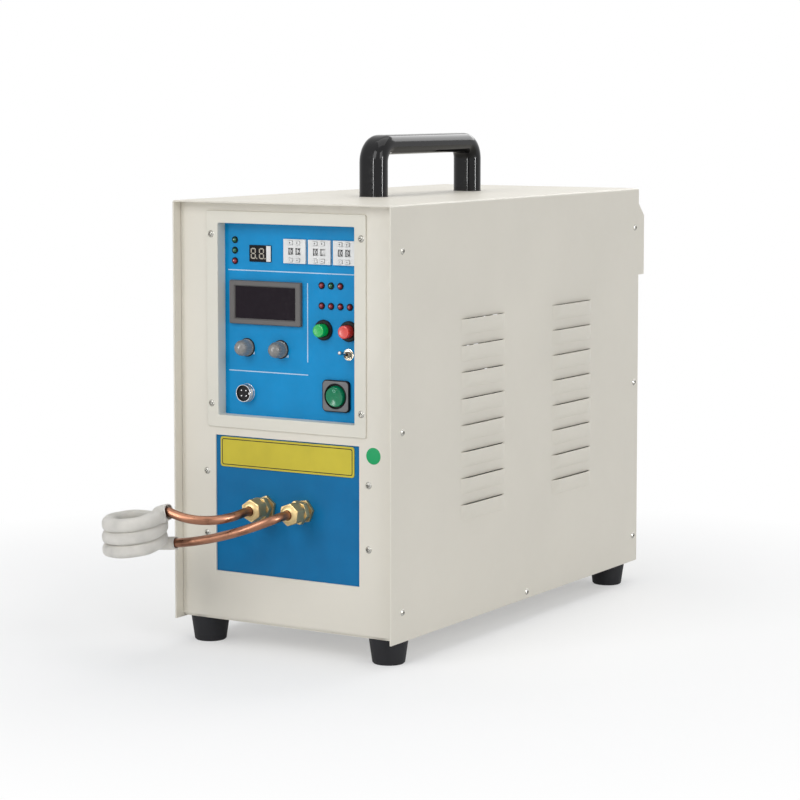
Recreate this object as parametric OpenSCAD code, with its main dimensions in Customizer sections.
// Portable induction heating machine: sheet-metal cabinet, recessed control panel,
// copper work coil in a fibre sleeve, water cooling and power circuit inside.
// Inside each module X runs to the right of a person facing the front, Y runs to the
// back from the cover's front edge, and Z rises from the cover's lower edge.

/* [Cover] */
// Width of the cover over its side walls
cover_w = 230; // [222:1:260]
// Depth of the cover from front edge to rear edge
cover_d = 480; // [470:1:540]
// Height of the cover's side walls
cover_h = 380; // [376:1:440]
// Thickness of the cover's sheet
sheet_t = 1.5; // [1:0.1:2]
// How far the front panel lies behind the cover's front edge
front_lip = 10.5; // [9.5:0.5:14]
// Width of the flanges that the cover's screws go into
flange_w = 16; // [14:1:20]

/* [Louvres] */
// Number of louvres in one column
louvre_rows = 8; // [3:1:8]
// Length of one louvre's slit
louvre_len = 72; // [50:1:90]
// Height of one louvre's bulge
louvre_rise = 14.5; // [10:0.5:18]
// How far a louvre stands out from the cover
louvre_out = 4; // [3:0.5:6]
// Distance from one louvre to the next below it
louvre_pitch = 24; // [22:1:30]
// Distance between the two columns of one side
louvre_column_gap = 174; // [150:1:200]

/* [Control window] */
// Width of the frame round the control panel
frame_w = 168; // [166:1:176]
// Height of the frame round the control panel
frame_h = 194; // [192:1:196]
// Width of the window in the frame
window_w = 144; // [142:1:146]
// Height of the window in the frame
window_h = 172; // [170:1:173]
// Depth from the frame's face to the control panel
window_depth = 11.5; // [10:0.5:14]
// Thickness of the control panel
panel_t = 1.6; // [1.2:0.1:2.4]

/* [Coil board] */
// Width of the opening that shows the coil board
board_open_w = 152.6; // [140:0.2:160]
// Height of the opening's lower edge over the cover's lower edge
board_low_z = 46.2; // [44:0.2:56]
// Gap between the opening's upper edge and the control frame
board_frame_gap = 7.4; // [5:0.2:12]
// Thickness of the insulating board
board_t = 6; // [4:0.5:8]

/* [Work coil] */
// Outer diameter of the copper tube
tube_d = 8; // [7:0.5:8]
// Mean diameter of the coil's turns
coil_mean_d = 46; // [42:1:60]
// Rise of one turn
coil_pitch = 11.4; // [11.3:0.1:14]
// Number of turns
coil_turns = 2.7; // [2.7:1:4.7]
// Outer diameter of the fibre sleeve
sleeve_d = 10.4; // [9.8:0.1:10.4]
// Distance between the two brass fittings
fitting_pitch = 40.4; // [36:0.2:46]

/* [Handle] */
// Distance between the centres of the handle's legs
handle_span = 174; // [150:1:200]
// Height of the handle over the cover
handle_h = 57; // [50:1:70]
// Width of the grip across the cabinet
grip_w = 28; // [24:1:32]
// Thickness of the grip
grip_t = 18.5; // [16:0.5:22]

/* [Feet] */
// Height of a foot
foot_h = 21.5; // [16:0.5:30]
// Diameter of a foot where it meets the cabinet
foot_top_d = 35; // [30:1:40]
// Diameter of a foot at the floor
foot_low_d = 29; // [24:1:30]

/* [Controls] */
// Width of one digit switch
timer_w = 23.2; // [22.4:0.2:24]
// Height of one digit switch
timer_h = 21.4; // [21.4:0.2:24]
// Distance from one digit switch to the next
timer_pitch = 26; // [25:0.5:28]
// Travel of the small plus and minus keys
key_travel = 1.2; // [0.8:0.1:1.2]
// Width of the meter's bezel
meter_w = 76.5; // [70:0.5:78]
// Height of the meter's bezel
meter_h = 39; // [36:0.5:42]
// Diameter of a push-button's cap
button_d = 11.5; // [10:0.5:13]
// Travel of a push-button
button_travel = 3; // [2:0.5:4]
// Diameter of a knob
knob_d = 15; // [13:0.5:18]
// Length of a knob
knob_len = 14.8; // [10:0.2:16]
// Length of the toggle's lever in front of its bushing
toggle_reach = 12; // [9:0.5:14]
// Width of the rocker switch's bezel
rocker_w = 28; // [26:0.5:30]
// Diameter of the ball that the round rocker is cut from
rocker_ball_d = 20.4; // [18:0.2:21]
// Diameter of the pedal socket's thread
socket_d = 16; // [14:0.5:18]

/* [Rear] */
// Side of the square fan housing
fan_w = 120; // [92:1:122]
// Depth of the fan housing
fan_t = 25; // [20:1:32]
// Number of fan blades
fan_blades = 7; // [5:1:9]
// Depth of the breaker hood behind the rear panel
hood_out = 16; // [12:1:20]
// Height of the breaker hood
hood_h = 76; // [72:1:80]
// Diameter of a water nozzle's spigot
nozzle_d = 10; // [8:0.5:12]
// Bore of the mains cable gland
gland_bore = 12; // [8:0.5:14]

/* [Hidden] */

// Fits and overruns
cut = 1;
slip = 0.3;
run = 0.06;
seat = 0.1;
fine = 64;

// Heights and depths shared by the cabinet's sheets
inner_w = cover_w - 2*sheet_t - 2*slip;
panel_y = front_lip;
panel_back_y = panel_y + sheet_t;
panel_low_z = 3.5;
panel_top_z = cover_h - sheet_t - slip;
rear_y = cover_d - sheet_t;
pan_floor_z = panel_low_z;
pan_wall_h = 16;
pan_floor_t = 2;
pan_front_y = panel_back_y + slip;
pan_back_y = rear_y - slip;

// Screws: pan heads with a cross recess
screw_head_d = 6.4;
screw_head_h = 2;
screw_d = 3.4;
screw_cross_w = 0.9;
screw_cross_l = 3.6;
screw_len = 6;

// Places of the cover's side screws
side_screw_off = 0.7;
side_screw_in_y = flange_w/2 + side_screw_off;
side_screw_top = 39.5;
side_screw_low = 26.5;
side_screw_z = [side_screw_low, (side_screw_low + cover_h - side_screw_top)/2,
    cover_h - side_screw_top];
pan_screw_z = 6.5;
pan_screw_off = 5;
side_screws = concat(
    [for (z = side_screw_z) [panel_y + side_screw_in_y, z]],
    [for (z = side_screw_z) [cover_d - side_screw_in_y, z]],
    [[cover_d/2 + pan_screw_off, pan_screw_z]]);

// Louvres
louvre_top_drop = 106;
louvre_off = 7;
louvre_mid_y = cover_d/2 + louvre_off;
louvre_foot = 2;
louvre_wall_share = 0.7;
louvre_end = 6.5;
louvre_shares = [[0, 0], [0.6, 0.2], [1, 0.62]];

// Control frame and panel
frame_drop = 105.8;
frame_z = cover_h - frame_drop;
frame_t = sheet_t;
frame_y = panel_y - frame_t;
frame_wall = 1.2;
frame_corner = 2;
box_w = window_w + 2*frame_wall;
box_h = window_h + 2*frame_wall;
face_y = frame_y + window_depth;
panel_rear_y = face_y + panel_t;
panel_rim = 3;
frame_screw_in = 4.7;
frame_screw_drop_z = 21;
frame_screws = [for (sx = [-1, 1]) for (sz = [-1, 1])
    [sx*(frame_w/2 - frame_screw_in), frame_z + sz*(frame_h/2 - frame_screw_drop_z)]];

// Coil board and its screws
board_rim = 16;
board_top_z = frame_z - max(frame_h, box_h)/2 - board_frame_gap;
board_open_h = board_top_z - board_low_z;
board_z = (board_top_z + board_low_z)/2;
board_screw_out = 9.5;
board_w = board_open_w + 2*board_rim;
board_screw_x = board_open_w/2 + board_screw_out;
board_screw_z = 28.2;
board_screws = [for (sx = [-1, 1]) for (sz = [-1, 1])
    [sx*board_screw_x, board_z + sz*board_screw_z]];
board_rear_y = panel_back_y + board_t;

// Brass coil fittings, from the board's face forwards
fitting_mid_x = -2.2;
fitting_x = [fitting_mid_x - fitting_pitch/2, fitting_mid_x + fitting_pitch/2];
lock_af = 19;
lock_t = 3.4;
groove_d = 15;
groove_t = 3;
body_af = 19;
body_t = 6;
nut_af = 18;
nut_t = 8;
nose_t = 7;
nose_d = 12;
fitting_thread_d = 14;
fitting_tail_d = 10;
fitting_tail_t = 16;
rear_nut_t = 5;
fitting_mouth_y = panel_back_y - lock_t - groove_t - body_t - nut_t - nose_t;

// Copper coil: one helix between two curved leads
tube_sides = 8;
turn_rings = 24;
lead_rings = 14;
bend_rings = 6;
coil_x = -104;
coil_y = -73;
coil_r = coil_mean_d/2;
coil_tilt = 7.5;
coil_rest_z = 74.7;
coil_start_a = 108;
coil_bend_r = 8;
coil_bend_lift = 3;
coil_spin = 360*coil_turns;
coil_end_a = coil_start_a + coil_spin;
tube_in_fitting = 12;
tube_straight = tube_d;
low_lead_out = 34;
low_lead_run = 60;
low_lead_dip = 2.4;
low_lead_drop = 2;
high_lead_out = 32;
high_lead_run = 24;
high_lead_drop = 4;
high_lead_dip = 9;
sleeve_wall = 0.9;
sleeve_low_run = 46;
sleeve_bend_rings = 4;

// Handle
handle_off = 4;
handle_y = cover_d/2 + handle_off;
grip_r = grip_t/2;
handle_bend_r = 16;

// Feet
foot_in_x = 19.5;
foot_in_y = 28;
foot_recess_d = 12;
foot_recess_h = 14;
foot_hole_d = 5.4;
foot_places = [for (sx = [-1, 1]) for (y = [foot_in_y, cover_d - foot_in_y])
    [sx*(cover_w/2 - foot_in_x), y]];
foot_screw_head_d = 10;
foot_screw_head_h = 3;
foot_screw_d = 5;

// Digit switches
timer_left_x = 3.9;
timer_up = 62.4;
timer_z = frame_z + timer_up;
timer_proud = 2;
timer_face_t = 1.2;
timer_wall = 1.1;
timer_deep = 18;
digit_gap = 7.6;
wheel_r = 6.8;
wheel_w = 5.6;
wheel_behind = 0.5;
axle_d = 2;
digit_open_w = 5.6;
digit_open_h = 6.2;
key_w = 4.2;
key_h = 3.2;
key_rise = 7.6;
key_proud = 1.5;
key_deep = 2.6;
key_play = 0.2;
timer_x = [for (i = [0:2]) timer_left_x + i*timer_pitch];
digit_x = [for (i = [0:5]) timer_x[floor(i/2)] + (i % 2 == 0 ? -1 : 1)*digit_gap/2];
timer_face_y = face_y - timer_proud;
wheel_y = timer_face_y + timer_face_t + wheel_behind + wheel_r;

// Counter display
counter_x = -33.4;
counter_up = 59.2;
counter_z = frame_z + counter_up;
counter_w = 23.5;
counter_h = 14.8;
counter_proud = 0.8;
counter_deep = 12;
counter_rim = 0.9;
counter_sink = 0.5;

// Meter
meter_x = -27.2;
meter_up = 15.4;
meter_z = frame_z + meter_up;
meter_proud = 3.5;
meter_rim_x = 6;
meter_rim_z = 5;
meter_sink = 1.5;
meter_body_in = 1.6;
meter_deep = 26;
meter_glass_t = 1.5;
meter_wall = 2;

// Indicator lamps
lamp_d = 5;
lamp_flange_d = 6;
lamp_flange_t = 1;
lamp_proud = 2;
lamp_deep = 7;
lamp_left_x = -60.8;
lamp_left_up = 61.4;
lamp_left_z = frame_z + lamp_left_up;
lamp_left_pitch = 9.4;
lamp_right_x = 31.5;
lamp_right_pitch = 9.75;
lamp_row_up = [33.3, 15.4];
lamp_row_z = [for (up = lamp_row_up) frame_z + up];
lamp_places = concat(
    [for (i = [0:2]) [lamp_left_x, lamp_left_z - (i - 1)*lamp_left_pitch]],
    [for (i = [0:2]) [lamp_right_x + i*lamp_right_pitch, lamp_row_z[0]]],
    [for (i = [0:3]) [lamp_right_x + i*lamp_right_pitch, lamp_row_z[1]]]);

// Push-buttons
start_x = 33.6;
button_pitch = 26.2;
button_down = 5.8;
button_z = frame_z - button_down;
collar_rim = 3.2;
collar_proud = 2.4;
collar_play = 0.2;
collar_wall = 1.9;
collar_deep = 26;
button_proud = 10;
button_stem = 11;
button_x = [start_x, start_x + button_pitch];

// Toggle switch
toggle_x = 59.3;
toggle_down = 26.2;
toggle_z = frame_z - toggle_down;
toggle_up = 12;
toggle_bush_d = 6;
toggle_bore_d = 4.6;
toggle_bush_proud = 4.5;
toggle_nut_af = 8;
toggle_nut_t = 1.8;
toggle_pivot_in = 1;
toggle_ball_d = 4;
toggle_root_d = 2.2;
toggle_tip_d = 3.4;
toggle_body_w = 8;
toggle_body_h = 13;
toggle_body_t = 10;
toggle_cavity = 6.4;

// Knobs and potentiometers
knob_down = 25.2;
knob_z = frame_z - knob_down;
knob_left_x = -48.3;
knob_pitch = 36.2;
knob_x = [knob_left_x, knob_left_x + knob_pitch];
knob_flutes = 18;
knob_flute_d = 1.2;
knob_skirt_h = 1.6;
knob_skirt_out = 0.5;
knob_dome = 4;
knob_dome_shares = [[0.62, 0], [0.9, 0.3], [1, 1]];
knob_shaft_d = 6;
knob_shaft_len = 14;
pot_d = 17;
pot_t = 9;
pot_shaft_play = 0.4;

// Rocker switch
rocker_x = 47.2;
rocker_down = 63.2;
rocker_z = frame_z - rocker_down;
rocker_proud = 3;
rocker_corner = 4;
rocker_play = 0.3;
rocker_half_t = 4.6;
rocker_sink = 2.2;
rocker_tilt = 8;
rocker_body_w = 24;
rocker_body_h = 23;
rocker_deep = 24;
rocker_room = 3;

// Pedal socket
socket_x = -48.2;
socket_down = 65.9;
socket_z = frame_z - socket_down;
socket_len = 7;
socket_wall = 1.1;
socket_floor = 2.5;
socket_pin_d = 1.7;
socket_pin_len = 4;
socket_pin_ring = 7;
socket_deep = 12;
socket_flange_d = 18;
socket_flange_t = 1.2;

// Rear hood and breaker
hood_w = 92;
hood_side_in = 1.7;
hood_x1 = cover_w/2 - hood_side_in;
hood_x0 = hood_x1 - hood_w;
hood_drop = 88;
hood_low_z = cover_h - hood_drop;
hood_t = 1.2;
breaker_w = 36;
breaker_body_h = 68;
breaker_nose_h = 45;
breaker_side_gap = 4;
breaker_rise = 6.5;
breaker_x = hood_x1 - hood_t - slip - breaker_w/2 - breaker_side_gap;
breaker_z = hood_low_z + breaker_rise + breaker_nose_h/2;
breaker_proud = 1.2;
breaker_deep = 52;
breaker_hub_d = 10;
breaker_hub_in = 5.5;
breaker_lever_w = 24;
breaker_lever_t = 3.6;
breaker_lever_len = 13;
breaker_lever_a = 35;
breaker_slot_h = 17;
breaker_play = 0.3;
breaker_axle_d = 3;

// Fan
fan_x = -28;
fan_rim = 3;
fan_drop = 164;
fan_z = cover_h - fan_drop;
fan_bore_d = fan_w - 2*fan_rim;
fan_tip_gap = 2;
fan_hub_d = 40;
fan_pin_d = 6;
fan_plate_t = 3;
fan_strut_w = 6;
fan_blade_t = 1.6;
fan_blade_tilt = 38;
fan_end_gap = 1;
fan_screw_in = 7.5;
fan_screws = [for (sx = [-1, 1]) for (sz = [-1, 1])
    [fan_x + sx*(fan_w/2 - fan_screw_in), fan_z + sz*(fan_w/2 - fan_screw_in)]];
grille_rings = 5;
grille_slot_w = 6;
grille_rib_w = 5;
grille_first_r = 10;
grille_bars = 3;

// Nozzles and gland
nozzle_hex_af = 17;
nozzle_hex_t = 6;
nozzle_len = 20;
nozzle_thread_d = 12;
nozzle_bore_d = 6;
nozzle_tail_t = 16;
gland_x = 82;
gland_drop = 67;
gland_z = hood_low_z - gland_drop;
gland_thread_d = 20;
gland_hex_af = 24;
gland_hex_t = 6;
gland_dome_d = 22;
gland_dome_t = 12;
gland_nut_t = 4;
stud_x = 82;
stud_drop = 49;
stud_z = gland_z - stud_drop;
stud_d = 6;
stud_len = 18;
stud_nut_af = 10;
stud_nut_t = 5;

// Power circuit on the floor of the cabinet
hose_d = 15;
hose_slip = 0.1;
plate_t = 14;
plate_y0 = 190;
plate_rear_gap = 80;
plate_y1 = cover_d - plate_rear_gap;
plate_over = 14;
plate_top_z = board_z + plate_over;
module_n = 2;
module_gap = 8;
module_len = (plate_y1 - plate_y0 - (module_n + 1)*module_gap)/module_n;
module_h = 62;
module_t = 30;
module_base_t = 3;
core_w = 112;
core_y0 = 66;
core_len = 62;
core_drop = 20.5;
core_h = board_z - pan_floor_z - core_drop;
core_leg = 26;
core_yoke = 20;
bus_w = 34;
bus_t = 4;
bus_top = 14;
bus_loop_h = 10;
cap_n = 3;
cap_w = 30;
cap_gap = 6;
cap_len = 34;
cap_drop = 32.5;
cap_h = board_z - pan_floor_z - cap_drop;
cap_y0 = 140;
cap_stud_d = 8;
cap_stud_h = 6;
pcb_t = 1.6;
pcb_w = 136;
pcb_h = 166;
pcb_behind = 34;
pcb_post_d = 6;
pcb_post_in = 4;
pcb_chips = [[-40, 50, 26, 18, 8], [0, 52, 34, 14, 6], [42, 40, 20, 30, 12],
    [-36, -8, 40, 26, 10], [20, -20, 30, 30, 7], [-20, -58, 50, 16, 9]];

// Least and greatest reach, which set the origin at the middle of the footprint
side_reach = cover_w/2 + louvre_out;
coil_reach = coil_r + sleeve_d/2*cos(180/tube_sides);
left_x = coil_x - coil_reach;
front_y = coil_y - coil_reach;
rear_reach_y = cover_d + nozzle_hex_t + nozzle_len;
mid_x = (left_x + side_reach)/2;
mid_y = (front_y + rear_reach_y)/2;

// Puts the whole machine on its feet with the origin under its middle
module place() {
    translate([-mid_x, -mid_y, foot_h]) children();
}

// Cylinder along +Y from y0 to y1
module rod_y(x, z, y0, y1, d, sides = fine) {
    translate([x, y0, z]) rotate([-90, 0, 0]) cylinder(d = d, h = y1 - y0, $fn = sides);
}

// Cone along +Y from diameter d0 at y0 to d1 at y1
module cone_y(x, z, y0, y1, d0, d1) {
    translate([x, y0, z]) rotate([-90, 0, 0])
        cylinder(d1 = d0, d2 = d1, h = y1 - y0, $fn = fine);
}

// Hexagonal prism along +Y with the given width across flats
module hex_y(x, z, y0, y1, af) {
    translate([x, y0, z]) rotate([-90, 0, 0])
        cylinder(d = af/cos(30), h = y1 - y0, $fn = 6);
}

// Block between two depths, centred in X and Z
module slab_y(x, z, y0, y1, w, h) {
    translate([x - w/2, y0, z - h/2]) cube([w, y1 - y0, h]);
}

// Block between two depths with rounded corners
module soft_slab_y(x, z, y0, y1, w, h, r) {
    slab_y(x, z, y0, y1, w - 2*r, h);
    slab_y(x, z, y0, y1, w, h - 2*r);
    for (sx = [-1, 1]) for (sz = [-1, 1])
        rod_y(x + sx*(w/2 - r), z + sz*(h/2 - r), y0, y1, 2*r);
}

// Pan-head screw whose head seats on y = 0 and whose shank runs to +Y
module pan_screw(len) {
    color("silver") difference() {
        union() {
            intersection() {
                rotate([90, 0, 0]) cylinder(d = screw_head_d, h = screw_head_h, $fn = fine);
                translate([0, screw_head_d/2 - screw_head_h/2, 0])
                    sphere(d = screw_head_d*1.2, $fn = fine);
            }
            rotate([-90, 0, 0]) cylinder(d = screw_d - 2*seat, h = len, $fn = fine);
        }
        for (a = [0, 90]) rotate([0, a, 0])
            translate([-screw_cross_l/2, -screw_head_h - cut, -screw_cross_w/2])
                cube([screw_cross_l, screw_head_h + cut - screw_head_h*0.3, screw_cross_w]);
    }
}

// Bores in the side walls for the cover's screws
module side_screw_bores() {
    for (p = side_screws)
        translate([-cover_w/2 - cut, p[0], p[1]]) rotate([0, 90, 0])
            cylinder(d = screw_d, h = cover_w + 2*cut, $fn = fine);
}

// Solid bulge of one louvre, out to +X with its slit at the top, centred on Y
module louvre_bulge(out, rise, len, top) {
    outline = concat([for (p = louvre_shares) [out*p[0], rise*p[1]]],
        [[out, rise + top], [0, rise + top]]);
    plan = [[0, -len/2 - louvre_end], [out, -len/2], [out, len/2], [0, len/2 + louvre_end]];
    intersection() {
        translate([0, len/2 + louvre_end, 0]) rotate([90, 0, 0])
            linear_extrude(len + 2*louvre_end) polygon(outline);
        linear_extrude(rise + top) polygon(plan);
    }
}

// Runs its children at every louvre, on the right side or mirrored to the left
module at_louvres() {
    for (s = [0, 1]) mirror([s, 0, 0])
        for (c = [-1, 1]) for (i = [0:louvre_rows - 1])
            translate([cover_w/2, louvre_mid_y + c*louvre_column_gap/2,
                cover_h - louvre_top_drop - louvre_rise - i*louvre_pitch]) children();
}

module cover_shell() {
    wall = sheet_t*louvre_wall_share;
    color("antiquewhite") {
        difference() {
            translate([-cover_w/2, 0, 0]) cube([cover_w, cover_d, cover_h]);
            translate([-cover_w/2 + sheet_t, -cut, -cut])
                cube([cover_w - 2*sheet_t, cover_d + 2*cut, cover_h - sheet_t + cut]);
            at_louvres() translate([-sheet_t - cut, -louvre_len/2, louvre_foot])
                cube([sheet_t + 2*cut, louvre_len, louvre_rise - louvre_foot]);
            side_screw_bores();
        }
        at_louvres() difference() {
            louvre_bulge(louvre_out, louvre_rise, louvre_len, 0);
            translate([0, 0, louvre_foot])
                louvre_bulge(louvre_out - wall, louvre_rise - louvre_foot, louvre_len, cut);
        }
    }
}

module base_pan() {
    color("antiquewhite") difference() {
        union() {
            translate([-inner_w/2, pan_front_y, pan_floor_z - pan_floor_t])
                cube([inner_w, pan_back_y - pan_front_y, pan_floor_t]);
            for (s = [0, 1]) mirror([s, 0, 0])
                translate([inner_w/2 - sheet_t, pan_front_y + flange_w, pan_floor_z - pan_floor_t])
                    cube([sheet_t, pan_back_y - pan_front_y - 2*flange_w, pan_wall_h]);
        }
        side_screw_bores();
        for (p = foot_places) translate([p[0], p[1], -cut])
            cylinder(d = foot_hole_d, h = pan_floor_z + 2*cut, $fn = fine);
    }
}

// Upright sheet with side flanges that turn inwards to the machine's middle
module flanged_sheet(y0, y1, flange_y0) {
    translate([-inner_w/2, y0, panel_low_z + slip])
        cube([inner_w, y1 - y0, panel_top_z - panel_low_z - slip]);
    for (s = [0, 1]) mirror([s, 0, 0])
        translate([inner_w/2 - sheet_t, flange_y0, panel_low_z + slip])
            cube([sheet_t, flange_w, panel_top_z - panel_low_z - slip]);
}

module front_panel() {
    color("linen") difference() {
        flanged_sheet(panel_y, panel_back_y, panel_y);
        slab_y(0, frame_z, panel_y - cut, panel_back_y + cut, box_w + 2*slip, box_h + 2*slip);
        slab_y(0, board_z, panel_y - cut, panel_back_y + cut, board_open_w, board_open_h);
        side_screw_bores();
        for (p = concat(board_screws, frame_screws))
            rod_y(p[0], p[1], panel_y - cut, panel_back_y + cut, screw_d);
    }
}

module rear_panel() {
    color("linen") difference() {
        flanged_sheet(rear_y, cover_d, cover_d - flange_w);
        side_screw_bores();
        for (p = fan_screws) rod_y(p[0], p[1], rear_y - cut, cover_d + cut, screw_d);
        for (x = fitting_x) rod_y(x, board_z, rear_y - cut, cover_d + cut, nozzle_thread_d + 2*seat);
        rod_y(gland_x, gland_z, rear_y - cut, cover_d + cut, gland_thread_d + 2*seat);
        rod_y(stud_x, stud_z, rear_y - cut, cover_d + cut, stud_d + 2*seat);
        slab_y(breaker_x, breaker_z, rear_y - cut, cover_d + cut, breaker_w + 2*slip,
            breaker_nose_h + 2*slip);
        difference() {
            for (i = [0:grille_rings - 1]) {
                r0 = grille_first_r + i*(grille_slot_w + grille_rib_w);
                difference() {
                    rod_y(fan_x, fan_z, rear_y - cut, cover_d + cut, 2*(r0 + grille_slot_w));
                    rod_y(fan_x, fan_z, rear_y - 2*cut, cover_d + 2*cut, 2*r0);
                }
            }
            for (i = [0:grille_bars - 1]) translate([fan_x, rear_y - 2*cut, fan_z])
                rotate([0, i*180/grille_bars, 0])
                    translate([-fan_w/2, 0, -grille_rib_w/2])
                        cube([fan_w, sheet_t + 4*cut, grille_rib_w]);
        }
    }
}

module control_frame() {
    color("wheat") difference() {
        union() {
            soft_slab_y(0, frame_z, frame_y, panel_y, frame_w, frame_h, frame_corner);
            slab_y(0, frame_z, frame_y, face_y, box_w, box_h);
        }
        slab_y(0, frame_z, frame_y - cut, face_y + cut, window_w, window_h);
        for (p = frame_screws) rod_y(p[0], p[1], frame_y - cut, panel_y + cut, screw_d);
    }
}

module control_panel() {
    color("deepskyblue") difference() {
        slab_y(0, frame_z, face_y, panel_rear_y, box_w + 2*panel_rim, box_h + 2*panel_rim);
        for (x = timer_x)
            slab_y(x, timer_z, face_y - cut, panel_rear_y + cut, timer_w + 2*seat,
                timer_h + 2*seat);
        slab_y(counter_x, counter_z, face_y - cut, panel_rear_y + cut, counter_w + 2*seat,
            counter_h + 2*seat);
        slab_y(meter_x, meter_z, face_y - cut, panel_rear_y + cut,
            meter_w - 2*meter_body_in + 2*seat, meter_h - 2*meter_body_in + 2*seat);
        for (p = lamp_places)
            rod_y(p[0], p[1], face_y - cut, panel_rear_y + cut, lamp_d + 2*seat);
        for (x = button_x)
            rod_y(x, button_z, face_y - cut, panel_rear_y + cut,
                button_d + 2*collar_play + 2*collar_wall + 2*seat);
        rod_y(toggle_x, toggle_z, face_y - cut, panel_rear_y + cut, toggle_bush_d + 2*seat);
        for (x = knob_x)
            rod_y(x, knob_z, face_y - cut, panel_rear_y + cut, knob_shaft_d + 2*pot_shaft_play);
        slab_y(rocker_x, rocker_z, face_y - cut, panel_rear_y + cut, rocker_body_w + 2*seat,
            rocker_body_h + 2*seat);
        rod_y(socket_x, socket_z, face_y - cut, panel_rear_y + cut, socket_d + 2*seat);
    }
}

module coil_board() {
    color("steelblue") difference() {
        slab_y(0, board_z, panel_back_y, board_rear_y, board_w, board_open_h + 2*panel_rim);
        for (x = fitting_x)
            rod_y(x, board_z, panel_back_y - cut, board_rear_y + cut, fitting_thread_d + 2*seat);
        for (p = board_screws)
            rod_y(p[0], p[1], panel_back_y - cut, board_rear_y + cut, screw_d);
    }
}

// Flat-sided oval section of the grip
module grip_section() {
    square([grip_w - grip_t, grip_t], center = true);
    for (s = [-1, 1]) translate([s*(grip_w - grip_t)/2, 0]) circle(d = grip_t, $fn = fine);
}

module carry_handle() {
    grip_z = handle_h - grip_r;
    leg = grip_z - handle_bend_r;
    color([0.08, 0.08, 0.08]) translate([0, handle_y, cover_h]) {
        for (s = [0, 1]) mirror([0, s, 0]) translate([0, handle_span/2, 0]) {
            linear_extrude(leg) grip_section();
            translate([0, -handle_bend_r, leg]) rotate([90, 0, 90])
                rotate_extrude(angle = 90, $fn = fine) translate([handle_bend_r, 0])
                    rotate([0, 0, 90]) grip_section();
        }
        translate([0, handle_span/2 - handle_bend_r, grip_z]) rotate([90, 0, 0])
            linear_extrude(handle_span - 2*handle_bend_r) grip_section();
    }
}

module rubber_feet() {
    color([0.1, 0.1, 0.1]) for (p = foot_places)
        translate([p[0], p[1], pan_floor_z - pan_floor_t - foot_h - foot_seat_gap()])
            difference() {
                cylinder(d1 = foot_low_d, d2 = foot_top_d, h = foot_h + foot_seat_gap(), $fn = fine);
                translate([0, 0, -cut])
                    cylinder(d = foot_recess_d, h = foot_recess_h + cut, $fn = fine);
                cylinder(d = foot_hole_d, h = foot_h + foot_top_d, $fn = fine);
            }
}

// The pan's underside lies above the cover's lower edge, so a foot is that much taller
function foot_seat_gap() = pan_floor_z - pan_floor_t;

module machine_screws() {
    for (p = side_screws) for (s = [0, 1]) mirror([s, 0, 0])
        translate([cover_w/2, p[0], p[1]]) rotate([0, 0, 90]) pan_screw(screw_len);
    for (p = frame_screws) translate([p[0], frame_y, p[1]]) pan_screw(screw_len);
    for (p = board_screws) translate([p[0], panel_y, p[1]]) pan_screw(screw_len);
    for (p = fan_screws) translate([p[0], cover_d, p[1]]) rotate([0, 0, 180]) pan_screw(screw_len);
    color("silver") for (p = foot_places) translate([p[0], p[1], foot_recess_h - foot_h]) {
        translate([0, 0, -foot_screw_head_h])
            cylinder(d = foot_screw_head_d, h = foot_screw_head_h, $fn = fine);
        cylinder(d = foot_screw_d, h = foot_h - foot_recess_h + pan_floor_z, $fn = fine);
    }
    color("gold") {
        rod_y(stud_x, stud_z, rear_y - stud_nut_t - cut, cover_d + stud_len, stud_d);
        for (y = [rear_y - stud_nut_t, cover_d, cover_d + stud_nut_t + cut])
            hex_y(stud_x, stud_z, y, y + stud_nut_t, stud_nut_af);
    }
}

// White case of one digit switch with two digit windows and four key openings
module timer_case(x) {
    difference() {
        slab_y(x, timer_z, timer_face_y, timer_face_y + timer_deep, timer_w, timer_h);
        slab_y(x, timer_z, timer_face_y + timer_face_t, timer_face_y + timer_deep - timer_wall,
            timer_w - 2*timer_wall, timer_h - 2*timer_wall);
        for (s = [-1, 1]) {
            slab_y(x + s*digit_gap/2, timer_z, timer_face_y - cut,
                timer_face_y + timer_face_t + cut, digit_open_w, digit_open_h);
            for (v = [-1, 1])
                slab_y(x + s*digit_gap/2, timer_z + v*key_rise, timer_face_y - cut,
                    timer_face_y + timer_face_t + cut, key_w + 2*key_play, key_h + 2*key_play);
        }
    }
    translate([x - timer_w/2 + timer_wall/2, wheel_y, timer_z]) rotate([0, 90, 0])
        cylinder(d = axle_d, h = timer_w - timer_wall, $fn = fine);
}

module timer_housings() {
    color("whitesmoke") for (x = timer_x) timer_case(x);
}

module digit_wheel(i) {
    color("white") translate([digit_x[i] - wheel_w/2, wheel_y, timer_z]) rotate([0, 90, 0])
        difference() {
            cylinder(r = wheel_r, h = wheel_w, $fn = fine);
            translate([0, 0, -cut])
                cylinder(d = axle_d + 2*run, h = wheel_w + 2*cut, $fn = fine);
        }
}

// Small key above (side 1) or below (side -1) a digit
module step_key(i, side) {
    color("white") slab_y(digit_x[i], timer_z + side*key_rise, timer_face_y - key_proud,
        timer_face_y + key_deep, key_w, key_h);
}

module counter_display() {
    color([0.06, 0.06, 0.07]) difference() {
        slab_y(counter_x, counter_z, face_y - counter_proud, face_y + counter_deep,
            counter_w, counter_h);
        slab_y(counter_x, counter_z, face_y - counter_proud - cut,
            face_y - counter_proud + counter_sink, counter_w - 2*counter_rim,
            counter_h - 2*counter_rim);
    }
}

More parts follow.
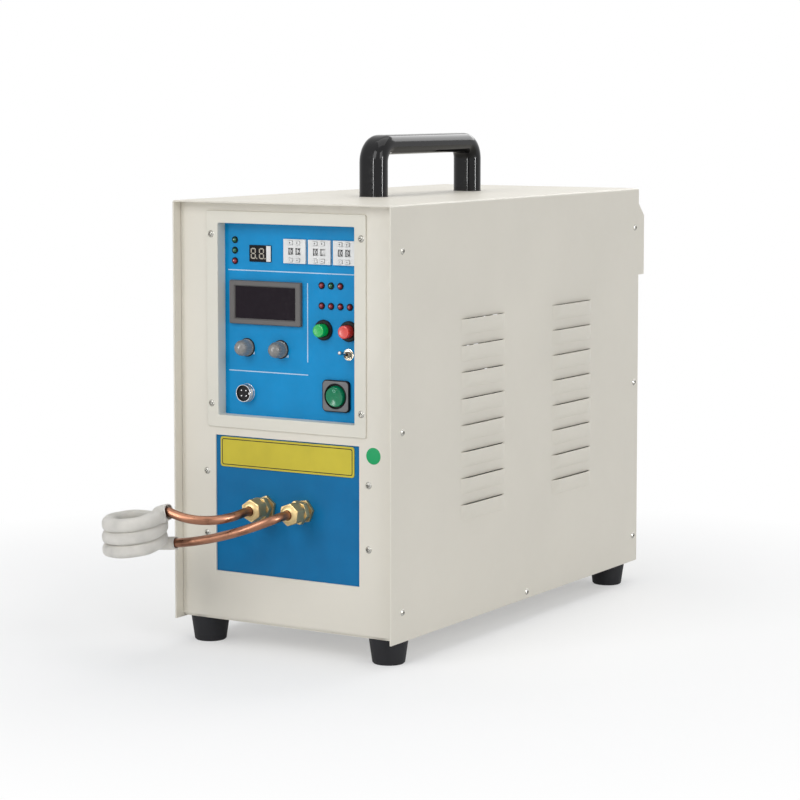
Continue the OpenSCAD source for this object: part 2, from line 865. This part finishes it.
module meter_bezel() {
    glass_y = face_y - meter_proud + meter_sink;
    color("dimgray") difference() {
        union() {
            slab_y(meter_x, meter_z, face_y - meter_proud, face_y, meter_w, meter_h);
            slab_y(meter_x, meter_z, face_y, face_y + meter_deep, meter_w - 2*meter_body_in,
                meter_h - 2*meter_body_in);
        }
        slab_y(meter_x, meter_z, face_y - meter_proud - cut, glass_y,
            meter_w - 2*meter_rim_x, meter_h - 2*meter_rim_z);
        slab_y(meter_x, meter_z, glass_y - cut, face_y + meter_deep - meter_wall,
            meter_w - 2*meter_rim_x - 2*meter_wall, meter_h - 2*meter_rim_z - 2*meter_wall);
        slab_y(meter_x, meter_z, glass_y - cut, glass_y + meter_glass_t,
            meter_w - 2*meter_rim_x, meter_h - 2*meter_rim_z);
    }
}

module meter_window() {
    glass_y = face_y - meter_proud + meter_sink;
    color([0.12, 0.08, 0.09]) slab_y(meter_x, meter_z, glass_y, glass_y + meter_glass_t,
        meter_w - 2*meter_rim_x - 2*seat, meter_h - 2*meter_rim_z - 2*seat);
}

module indicator_lamps() {
    color("firebrick") for (p = lamp_places) {
        rod_y(p[0], p[1], face_y - lamp_proud, face_y + lamp_deep, lamp_d);
        rod_y(p[0], p[1], face_y - lamp_flange_t, face_y, lamp_flange_d);
        translate([p[0], face_y - lamp_proud, p[1]]) sphere(d = lamp_d, $fn = fine);
    }
}

module button_collars() {
    bore = button_d + 2*collar_play;
    barrel = bore + 2*collar_wall;
    color([0.05, 0.05, 0.06]) for (x = button_x) difference() {
        union() {
            rod_y(x, button_z, face_y - collar_proud, face_y, bore + 2*collar_rim);
            rod_y(x, button_z, face_y, face_y + collar_deep, barrel);
        }
        rod_y(x, button_z, face_y - collar_proud - cut,
            face_y + button_stem + button_travel + slip, bore);
    }
}

// Push-button cap with a chamfered face
module button_cap(x) {
    chamfer = button_d/12;
    front = face_y - button_proud;
    rod_y(x, button_z, front + chamfer, face_y + button_stem, button_d);
    cone_y(x, button_z, front, front + chamfer, button_d - 2*chamfer, button_d);
}

module start_button() {
    color("limegreen") button_cap(button_x[0]);
}

module stop_button() {
    color("red") button_cap(button_x[1]);
}

module panel_bushings() {
    pivot_y = face_y - toggle_bush_proud + toggle_pivot_in + toggle_ball_d/2;
    color("silver") {
        difference() {
            union() {
                rod_y(toggle_x, toggle_z, face_y - toggle_bush_proud, panel_rear_y, toggle_bush_d);
                hex_y(toggle_x, toggle_z, face_y - toggle_nut_t, face_y, toggle_nut_af);
                slab_y(toggle_x, toggle_z, panel_rear_y, panel_rear_y + toggle_body_t,
                    toggle_body_w, toggle_body_h);
            }
            rod_y(toggle_x, toggle_z, face_y - toggle_bush_proud - cut,
                pivot_y + toggle_cavity, toggle_bore_d);
        }
        for (x = knob_x) difference() {
            rod_y(x, knob_z, panel_rear_y, panel_rear_y + pot_t, pot_d);
            rod_y(x, knob_z, panel_rear_y - cut, panel_rear_y + pot_t + cut, knob_shaft_d + 2*run);
        }
    }
}

module mode_toggle_lever() {
    pivot_y = face_y - toggle_bush_proud + toggle_pivot_in + toggle_ball_d/2;
    reach = toggle_bush_proud + toggle_reach - (face_y - pivot_y) - toggle_tip_d/2;
    color("silver") translate([toggle_x, pivot_y, toggle_z]) rotate([-toggle_up, 0, 0]) {
        sphere(d = toggle_ball_d, $fn = fine);
        rotate([90, 0, 0]) cylinder(d1 = toggle_root_d, d2 = toggle_tip_d, h = reach, $fn = fine);
        translate([0, -reach, 0]) sphere(d = toggle_tip_d, $fn = fine);
    }
}

// Fluted knob with a domed front and a shaft into the potentiometer
module fluted_knob(x) {
    back = face_y - slip;
    front = back - knob_len;
    body_r = knob_d/2 - knob_skirt_out;
    root_r = body_r - knob_flute_d/4;
    dome = concat([[0, 0]], [for (p = knob_dome_shares) [root_r*p[0], knob_dome*p[1]]],
        [[0, knob_dome]]);
    color("darkgray") {
        translate([x, front, knob_z]) rotate([-90, 0, 0]) {
            rotate_extrude($fn = fine) polygon(dome);
            translate([0, 0, knob_dome]) linear_extrude(knob_len - knob_dome - knob_skirt_h)
                difference() {
                    circle(r = body_r, $fn = fine);
                    for (i = [0:knob_flutes - 1]) rotate([0, 0, i*360/knob_flutes])
                        translate([body_r + knob_flute_d/4, 0]) circle(d = knob_flute_d, $fn = fine);
                }
        }
        rod_y(x, knob_z, back - knob_skirt_h, back, knob_d);
        rod_y(x, knob_z, back, back + knob_shaft_len, knob_shaft_d);
    }
}

module heat_power_knob() {
    fluted_knob(knob_x[0]);
}

module hold_power_knob() {
    fluted_knob(knob_x[1]);
}

module rocker_bezel() {
    centre_y = face_y - rocker_proud + rocker_sink;
    room_y = centre_y + rocker_ball_d/2 + rocker_play;
    color("gray") difference() {
        union() {
            soft_slab_y(rocker_x, rocker_z, face_y - rocker_proud, face_y, rocker_w, rocker_w,
                rocker_corner);
            slab_y(rocker_x, rocker_z, face_y, face_y + rocker_deep, rocker_body_w, rocker_body_h);
        }
        rod_y(rocker_x, rocker_z, face_y - rocker_proud - cut, room_y,
            rocker_ball_d + 2*rocker_play);
    }
}

// Round rocker cut from a ball, with a shallow hollow face, tilted about the X axis
module power_rocker() {
    centre_y = face_y - rocker_proud + rocker_sink;
    dish_r = rocker_ball_d*1.6;
    color("seagreen") translate([rocker_x, centre_y, rocker_z]) rotate([rocker_tilt, 0, 0])
        difference() {
            rotate([90, 0, 0]) rotate_extrude($fn = fine) intersection() {
                circle(d = rocker_ball_d, $fn = fine);
                translate([0, -rocker_half_t]) square([rocker_ball_d, 2*rocker_half_t]);
            }
            translate([0, -rocker_half_t - dish_r + rocker_half_t/4, 0]) rotate([0, 90, 0])
                cylinder(r = dish_r, h = 2*rocker_ball_d, center = true, $fn = fine);
        }
}

module pedal_socket() {
    front = face_y - socket_len;
    color("silver") {
        difference() {
            rod_y(socket_x, socket_z, front, face_y + socket_deep, socket_d);
            rod_y(socket_x, socket_z, front - cut, front + socket_floor + socket_pin_len,
                socket_d - 2*socket_wall);
        }
        rod_y(socket_x, socket_z, face_y - socket_flange_t, face_y, socket_flange_d);
        for (i = [0:3]) rotate_about_socket(45 + i*90)
            rod_y(socket_x + socket_pin_ring/2, socket_z, front + socket_floor,
                face_y, socket_pin_d);
    }
}

// Turns its children about the pedal socket's axis
module rotate_about_socket(a) {
    translate([socket_x, 0, socket_z]) rotate([0, a, 0]) translate([-socket_x, 0, -socket_z])
        children();
}

module coil_fitting(x) {
    lock_y = panel_back_y - lock_t;
    body_y = lock_y - groove_t - body_t;
    nut_y = body_y - nut_t;
    difference() {
        union() {
            hex_y(x, board_z, lock_y, panel_back_y, lock_af);
            rod_y(x, board_z, lock_y - groove_t, lock_y, groove_d);
            hex_y(x, board_z, body_y, lock_y - groove_t, body_af);
            hex_y(x, board_z, nut_y, body_y, nut_af);
            cone_y(x, board_z, fitting_mouth_y, nut_y, nose_d, nut_af);
            rod_y(x, board_z, panel_back_y, board_rear_y + bus_t + rear_nut_t, fitting_thread_d);
            hex_y(x, board_z, board_rear_y + bus_t, board_rear_y + bus_t + rear_nut_t, lock_af);
            rod_y(x, board_z, board_rear_y + bus_t + rear_nut_t,
                board_rear_y + bus_t + rear_nut_t + fitting_tail_t, fitting_tail_d);
        }
        rod_y(x, board_z, fitting_mouth_y - cut, fitting_mouth_y + tube_in_fitting + seat,
            tube_d + 2*seat);
        rod_y(x, board_z, fitting_mouth_y, board_rear_y + bus_t + rear_nut_t + fitting_tail_t + cut,
            nozzle_bore_d);
    }
}

module coil_fittings() {
    color("goldenrod") for (x = fitting_x) coil_fitting(x);
}

// Height of the tilted coil's centre line at a turn angle, over the given plan point
function coil_height(a, y) = coil_rest_z + coil_pitch*(a - coil_start_a)/360
    + (y - coil_y)*tan(coil_tilt);
function coil_point(a) = [coil_x + coil_r*cos(a), coil_y + coil_r*sin(a),
    coil_height(a, coil_y + coil_r*sin(a))];
function curve_point(p, t) = pow(1 - t, 3)*p[0] + 3*t*pow(1 - t, 2)*p[1]
    + 3*t*t*(1 - t)*p[2] + pow(t, 3)*p[3];

coil_start = coil_point(coil_start_a);
low_root = [fitting_x[1], fitting_mouth_y - tube_straight, board_z];
low_curve = [low_root, low_root - [0, low_lead_out, low_lead_drop],
    coil_start + [low_lead_run*sin(coil_start_a), -low_lead_run*cos(coil_start_a), -low_lead_dip],
    coil_start];
bend_rise = coil_bend_r*tan(coil_tilt);
bend_mid = coil_point(coil_end_a) + [coil_bend_r, 0, 0];
function bend_point(u) = bend_mid + [-coil_bend_r*cos(90*u), coil_bend_r*sin(90*u),
    bend_rise*sin(90*u) + u*coil_pitch*coil_bend_r/(4*coil_r) + coil_bend_lift*pow(sin(90*u), 2)];
high_start = bend_point(1);
high_root = [fitting_x[0], fitting_mouth_y - tube_straight, board_z];
high_curve = [high_start, high_start + [high_lead_run, 0, -high_lead_dip],
    high_root - [0, high_lead_out, high_lead_drop], high_root];
helix_rings = round(turn_rings*coil_turns);

helix_points = [for (i = [0:helix_rings]) coil_point(coil_start_a + coil_spin*i/helix_rings)];
bend_points = [for (i = [1:bend_rings]) bend_point(i/bend_rings)];
low_points = [for (i = [0:lead_rings - 1]) curve_point(low_curve, i/lead_rings)];
high_points = [for (i = [1:lead_rings]) curve_point(high_curve, i/lead_rings)];
low_end = [fitting_x[1], fitting_mouth_y + tube_in_fitting, board_z];
high_end = [fitting_x[0], fitting_mouth_y + tube_in_fitting, board_z];
coil_path = concat([low_end], low_points, helix_points, bend_points, high_points, [high_end]);

// The sleeve covers the start of the low lead, the turns and most of the tail's bend
sleeve_low = [for (p = low_points) if (p[0] < coil_start[0] + sleeve_low_run) p];
sleeve_high = [for (i = [0:sleeve_bend_rings - 1]) bend_points[i]];
sleeve_path = concat(sleeve_low, helix_points, sleeve_high);

function unit(v) = v/norm(v);
function path_way(p, i) = unit(p[min(i + 1, len(p) - 1)] - p[max(i - 1, 0)]);
// Ring of points round a path, upright wherever the path isn't vertical
function ring(p, i, r) = let(t = path_way(p, i), s = unit(cross(t, [0, 0, 1])), u = cross(s, t))
    [for (k = [0:tube_sides - 1]) p[i] + r*(cos((k + 0.5)*360/tube_sides)*s
        + sin((k + 0.5)*360/tube_sides)*u)];
// Side faces between the rings, from ring number a to ring number b
function skin(a, b, flip) = [for (i = [a:b - 1]) for (k = [0:tube_sides - 1])
    for (half = [0, 1]) let(q = tube_sides, n = (k + 1) % q,
        f = half == 0 ? [i*q + k, i*q + n, (i + 1)*q + n] : [i*q + k, (i + 1)*q + n, (i + 1)*q + k])
    flip ? [f[2], f[1], f[0]] : f];

// Solid tube swept along a path
module swept_rod(p, d) {
    n = len(p);
    q = tube_sides;
    points = [for (i = [0:n - 1]) for (v = ring(p, i, d/2)) v];
    first = [for (k = [1:q - 2]) [0, k + 1, k]];
    last = [for (k = [1:q - 2]) [(n - 1)*q, (n - 1)*q + k, (n - 1)*q + k + 1]];
    polyhedron(points = points, faces = concat(skin(0, n - 1, false), first, last));
}

// Hollow tube swept along a path
module swept_pipe(p, outer_d, inner_d) {
    n = len(p);
    q = tube_sides;
    points = concat([for (i = [0:n - 1]) for (v = ring(p, i, outer_d/2)) v],
        [for (i = [0:n - 1]) for (v = ring(p, i, inner_d/2)) v]);
    ends = [for (e = [0, 1]) for (k = [0:q - 1]) for (half = [0, 1])
        let(a = e*(n - 1)*q + k, b = e*(n - 1)*q + (k + 1) % q, c = a + n*q, d = b + n*q,
            f = half == 0 ? [a, c, d] : [a, d, b]) e == 0 ? f : [f[2], f[1], f[0]]];
    polyhedron(points = points, faces = concat(skin(0, n - 1, false), skin(n, 2*n - 1, true), ends));
}

// Least clear distance between turns of a tube of diameter d along the path
function turn_gap(p, d) = min([for (i = [0:len(p) - 1])
    for (j = [i + floor(turn_rings/2):1:len(p) - 1]) norm(p[i] - p[j])]) - d;
echo("Least gap between the sleeve's turns", turn_gap(sleeve_path, sleeve_d));
echo("Least gap between the copper's turns", turn_gap(coil_path, tube_d));

module heating_coil() {
    color("peru") swept_rod(coil_path, tube_d);
}

module coil_sleeve() {
    color("ghostwhite") swept_pipe(sleeve_path, sleeve_d, sleeve_d - 2*sleeve_wall);
}

module rear_hood() {
    outer = [[0, 0], [hood_out, 0], [hood_out, hood_h - hood_out], [0, hood_h]];
    inner = [[-cut, hood_t], [hood_out - hood_t, hood_t],
        [hood_out - hood_t, hood_h - hood_out - hood_t/2], [0, hood_h - 2*hood_t],
        [-cut, hood_h - 2*hood_t]];
    color("antiquewhite") difference() {
        translate([hood_x0, cover_d, hood_low_z]) rotate([90, 0, 90])
            linear_extrude(hood_w) polygon(outer);
        translate([hood_x0 + hood_t, cover_d, hood_low_z]) rotate([90, 0, 90])
            linear_extrude(hood_w - 2*hood_t) polygon(inner);
        slab_y(breaker_x, breaker_z, cover_d + hood_out - 2*hood_t - cut, cover_d + hood_out + cut,
            breaker_w + 2*slip, breaker_nose_h + 2*slip);
    }
}

module breaker_body() {
    nose_y = cover_d + hood_out + breaker_proud;
    shoulder_y = rear_y - slip;
    hub_y = nose_y - breaker_hub_in;
    color([0.07, 0.07, 0.08]) difference() {
        union() {
            slab_y(breaker_x, breaker_z, shoulder_y - breaker_deep, shoulder_y, breaker_w,
                breaker_body_h);
            slab_y(breaker_x, breaker_z, shoulder_y, nose_y, breaker_w, breaker_nose_h);
        }
        slab_y(breaker_x, breaker_z, hub_y, nose_y + cut, breaker_lever_w + 2*breaker_play,
            breaker_slot_h);
        translate([breaker_x, hub_y, breaker_z]) rotate([0, 90, 0])
            cylinder(d = breaker_hub_d + 2*breaker_play, h = breaker_lever_w + 2*breaker_play,
                center = true, $fn = fine);
    }
    color("gray") translate([breaker_x, hub_y, breaker_z]) rotate([0, 90, 0])
        cylinder(d = breaker_axle_d, h = breaker_lever_w + 4*breaker_play, center = true,
            $fn = fine);
}

module breaker_lever() {
    hub_y = cover_d + hood_out + breaker_proud - breaker_hub_in;
    color("dimgray") translate([breaker_x, hub_y, breaker_z]) difference() {
        union() {
            rotate([0, 90, 0]) cylinder(d = breaker_hub_d, h = breaker_lever_w, center = true,
                $fn = fine);
            rotate([-breaker_lever_a, 0, 0])
                translate([-breaker_lever_w/2, 0, -breaker_lever_t/2])
                    cube([breaker_lever_w, breaker_lever_len, breaker_lever_t]);
        }
        rotate([0, 90, 0]) cylinder(d = breaker_axle_d + 2*run, h = breaker_lever_w + 2*cut,
            center = true, $fn = fine);
    }
}

module fan_housing() {
    fan_y0 = rear_y - fan_t;
    color([0.1, 0.1, 0.1]) {
        difference() {
            slab_y(fan_x, fan_z, fan_y0, rear_y, fan_w, fan_w);
            rod_y(fan_x, fan_z, fan_y0 - cut, rear_y + cut, fan_bore_d);
            for (p = fan_screws) rod_y(p[0], p[1], fan_y0 - cut, rear_y + cut, screw_d);
        }
        rod_y(fan_x, fan_z, fan_y0, fan_y0 + fan_plate_t, fan_hub_d);
        for (a = [45, 135]) translate([fan_x, fan_y0, fan_z]) rotate([0, a, 0])
            translate([-fan_bore_d/2 - fan_strut_w, 0, -fan_strut_w/2])
                cube([fan_bore_d + 2*fan_strut_w, fan_plate_t, fan_strut_w]);
        rod_y(fan_x, fan_z, fan_y0, rear_y - fan_end_gap - fan_plate_t, fan_pin_d);
    }
}

module fan_rotor() {
    y0 = rear_y - fan_t + fan_plate_t + fan_end_gap;
    y1 = rear_y - fan_end_gap;
    tip_d = fan_bore_d - 2*fan_tip_gap;
    blade_len = (y1 - y0)/cos(fan_blade_tilt) + 2*fan_blade_t;
    color("black") difference() {
        union() {
            rod_y(fan_x, fan_z, y0, y1, fan_hub_d);
            intersection() {
                for (i = [0:fan_blades - 1]) translate([fan_x, (y0 + y1)/2, fan_z])
                    rotate([0, i*360/fan_blades, 0]) rotate([0, 0, 0])
                        translate([(tip_d + fan_hub_d)/4, 0, 0]) rotate([fan_blade_tilt, 0, 0])
                            cube([tip_d/2, blade_len, fan_blade_t], center = true);
                rod_y(fan_x, fan_z, y0 + slip, y1 - slip, tip_d);
            }
        }
        rod_y(fan_x, fan_z, y0 - cut, y1 - fan_plate_t, fan_pin_d + 2*run);
    }
}

module water_nozzles() {
    color("goldenrod") for (x = fitting_x) difference() {
        union() {
            hex_y(x, board_z, cover_d, cover_d + nozzle_hex_t, nozzle_hex_af);
            rod_y(x, board_z, cover_d + nozzle_hex_t, cover_d + nozzle_hex_t + nozzle_len, nozzle_d);
            rod_y(x, board_z, rear_y, cover_d, nozzle_thread_d);
            hex_y(x, board_z, rear_y - nozzle_hex_t, rear_y, nozzle_hex_af);
            rod_y(x, board_z, rear_y - nozzle_hex_t - nozzle_tail_t, rear_y - nozzle_hex_t,
                fitting_tail_d);
        }
        rod_y(x, board_z, rear_y - nozzle_hex_t - nozzle_tail_t - cut,
            rear_reach_y + cut, nozzle_bore_d);
    }
}

module cable_gland() {
    color([0.15, 0.15, 0.16]) difference() {
        union() {
            hex_y(gland_x, gland_z, cover_d, cover_d + gland_hex_t, gland_hex_af);
            cone_y(gland_x, gland_z, cover_d + gland_hex_t, cover_d + gland_hex_t + gland_dome_t,
                gland_dome_d, gland_thread_d - gland_nut_t/2);
            rod_y(gland_x, gland_z, rear_y, cover_d, gland_thread_d);
            hex_y(gland_x, gland_z, rear_y - gland_nut_t, rear_y, gland_hex_af);
        }
        rod_y(gland_x, gland_z, rear_y - gland_nut_t - cut,
            cover_d + gland_hex_t + gland_dome_t + cut, gland_bore);
    }
}

module transformer_core() {
    window = core_w - 2*core_leg;
    color("dimgray") translate([-core_w/2, core_y0, pan_floor_z]) difference() {
        cube([core_w, core_len, core_h]);
        translate([core_leg, -cut, core_yoke])
            cube([window, core_len + 2*cut, core_h - 2*core_yoke]);
    }
}

// One-turn copper winding: a loop through the core and a tab up to each fitting
module transformer_copper() {
    loop_z = pan_floor_z + core_yoke;
    window = core_w - 2*core_leg;
    bar_w = (window - bus_loop_h)/2 - slip;
    back_y = core_y0 + core_len + bus_t;
    color("peru") {
        for (i = [0, 1]) {
            side = i == 0 ? -1 : 1;
            inner = side*bus_loop_h/2;
            tab_x = fitting_x[i];
            difference() {
                union() {
                    translate([tab_x - bus_w/2, board_rear_y, loop_z])
                        cube([bus_w, bus_t, board_z - loop_z + bus_top]);
                    translate([min(inner, inner + side*bar_w), board_rear_y, loop_z])
                        cube([bar_w, back_y - board_rear_y, bus_loop_h]);
                }
                rod_y(tab_x, board_z, board_rear_y - cut, board_rear_y + bus_t + cut,
                    fitting_thread_d + 2*seat);
            }
        }
        translate([-bus_loop_h/2 - bar_w, back_y - bus_t, loop_z])
            cube([bus_loop_h + 2*bar_w, bus_t, bus_loop_h]);
    }
}

module resonant_capacitors() {
    row = cap_n*cap_w + (cap_n - 1)*cap_gap;
    color("midnightblue") for (i = [0:cap_n - 1])
        translate([-row/2 + i*(cap_w + cap_gap), cap_y0, pan_floor_z]) {
            cube([cap_w, cap_len, cap_h]);
            for (y = [cap_len/4, cap_len*3/4]) translate([cap_w/2, y, cap_h])
                cylinder(d = cap_stud_d, h = cap_stud_h, $fn = fine);
        }
}

module cold_plate() {
    color("lightgray") difference() {
        union() {
            translate([fitting_x[0] - plate_t/2, plate_y0, pan_floor_z])
                cube([plate_t, plate_y1 - plate_y0, plate_top_z - pan_floor_z]);
            for (e = [[plate_y0 - fitting_tail_t, plate_y0], [plate_y1, plate_y1 + fitting_tail_t]])
                rod_y(fitting_x[0], board_z, e[0], e[1], fitting_tail_d);
        }
        rod_y(fitting_x[0], board_z, plate_y0 - fitting_tail_t - cut,
            plate_y1 + fitting_tail_t + cut, nozzle_bore_d);
    }
}

module power_modules() {
    color("black") for (i = [0:module_n - 1])
        translate([fitting_x[0] - plate_t/2 - module_t, plate_y0 + module_gap + i*(module_len + module_gap),
            pan_floor_z + module_base_t]) {
            translate([module_t - module_base_t, 0, 0])
                cube([module_base_t, module_len, module_h]);
            translate([0, module_base_t, module_base_t])
                cube([module_t, module_len - 2*module_base_t, module_h - 2*module_base_t]);
        }
}

module control_board() {
    board_y = panel_rear_y + pcb_behind;
    color("darkgreen") {
        slab_y(0, frame_z, board_y, board_y + pcb_t, pcb_w, pcb_h);
        for (sx = [-1, 1]) for (sz = [-1, 1])
            rod_y(sx*(pcb_w/2 - pcb_post_in), frame_z + sz*(pcb_h/2 - pcb_post_in),
                panel_rear_y, board_y, pcb_post_d);
        for (c = pcb_chips)
            slab_y(c[0], frame_z + c[1], board_y + pcb_t, board_y + pcb_t + c[4], c[2], c[3]);
    }
}

// Rubber hose from one spigot to another, slipped over both
module hose(x, y0, y1) {
    difference() {
        rod_y(x, board_z, y0, y1, hose_d);
        rod_y(x, board_z, y0 - cut, y1 + cut, fitting_tail_d + 2*hose_slip);
    }
}

module cooling_hoses() {
    tail_y = board_rear_y + bus_t + rear_nut_t + slip;
    inlet_y = rear_y - nozzle_hex_t - slip;
    color("slategray") {
        hose(fitting_x[0], tail_y, plate_y0 - slip);
        hose(fitting_x[0], plate_y1 + slip, inlet_y);
        hose(fitting_x[1], tail_y, inlet_y);
    }
}

place() base_pan();
place() front_panel();
place() rear_panel();
place() cover_shell();
place() control_frame();
place() control_panel();
place() coil_board();
place() carry_handle();
place() rubber_feet();
place() machine_screws();
place() timer_housings();
place() digit_wheel(0);  // digit_wheel_1
place() digit_wheel(1);  // digit_wheel_2
place() digit_wheel(2);  // digit_wheel_3
place() digit_wheel(3);  // digit_wheel_4
place() digit_wheel(4);  // digit_wheel_5
place() digit_wheel(5);  // digit_wheel_6
place() step_key(0, 1);  // plus_key_1
place() step_key(1, 1);  // plus_key_2
place() step_key(2, 1);  // plus_key_3
place() step_key(3, 1);  // plus_key_4
place() step_key(4, 1);  // plus_key_5
place() step_key(5, 1);  // plus_key_6
place() step_key(0, -1);  // minus_key_1
place() step_key(1, -1);  // minus_key_2
place() step_key(2, -1);  // minus_key_3
place() step_key(3, -1);  // minus_key_4
place() step_key(4, -1);  // minus_key_5
place() step_key(5, -1);  // minus_key_6
place() counter_display();
place() meter_bezel();
place() meter_window();
place() indicator_lamps();
place() button_collars();
place() start_button();
place() stop_button();
place() panel_bushings();
place() mode_toggle_lever();
place() heat_power_knob();
place() hold_power_knob();
place() rocker_bezel();
place() power_rocker();
place() pedal_socket();
place() coil_fittings();
place() heating_coil();
place() coil_sleeve();
place() rear_hood();
place() breaker_body();
place() breaker_lever();
place() fan_housing();
place() fan_rotor();
place() water_nozzles();
place() cable_gland();
place() transformer_core();
place() transformer_copper();
place() resonant_capacitors();
place() cold_plate();
place() power_modules();
place() control_board();
place() cooling_hoses();
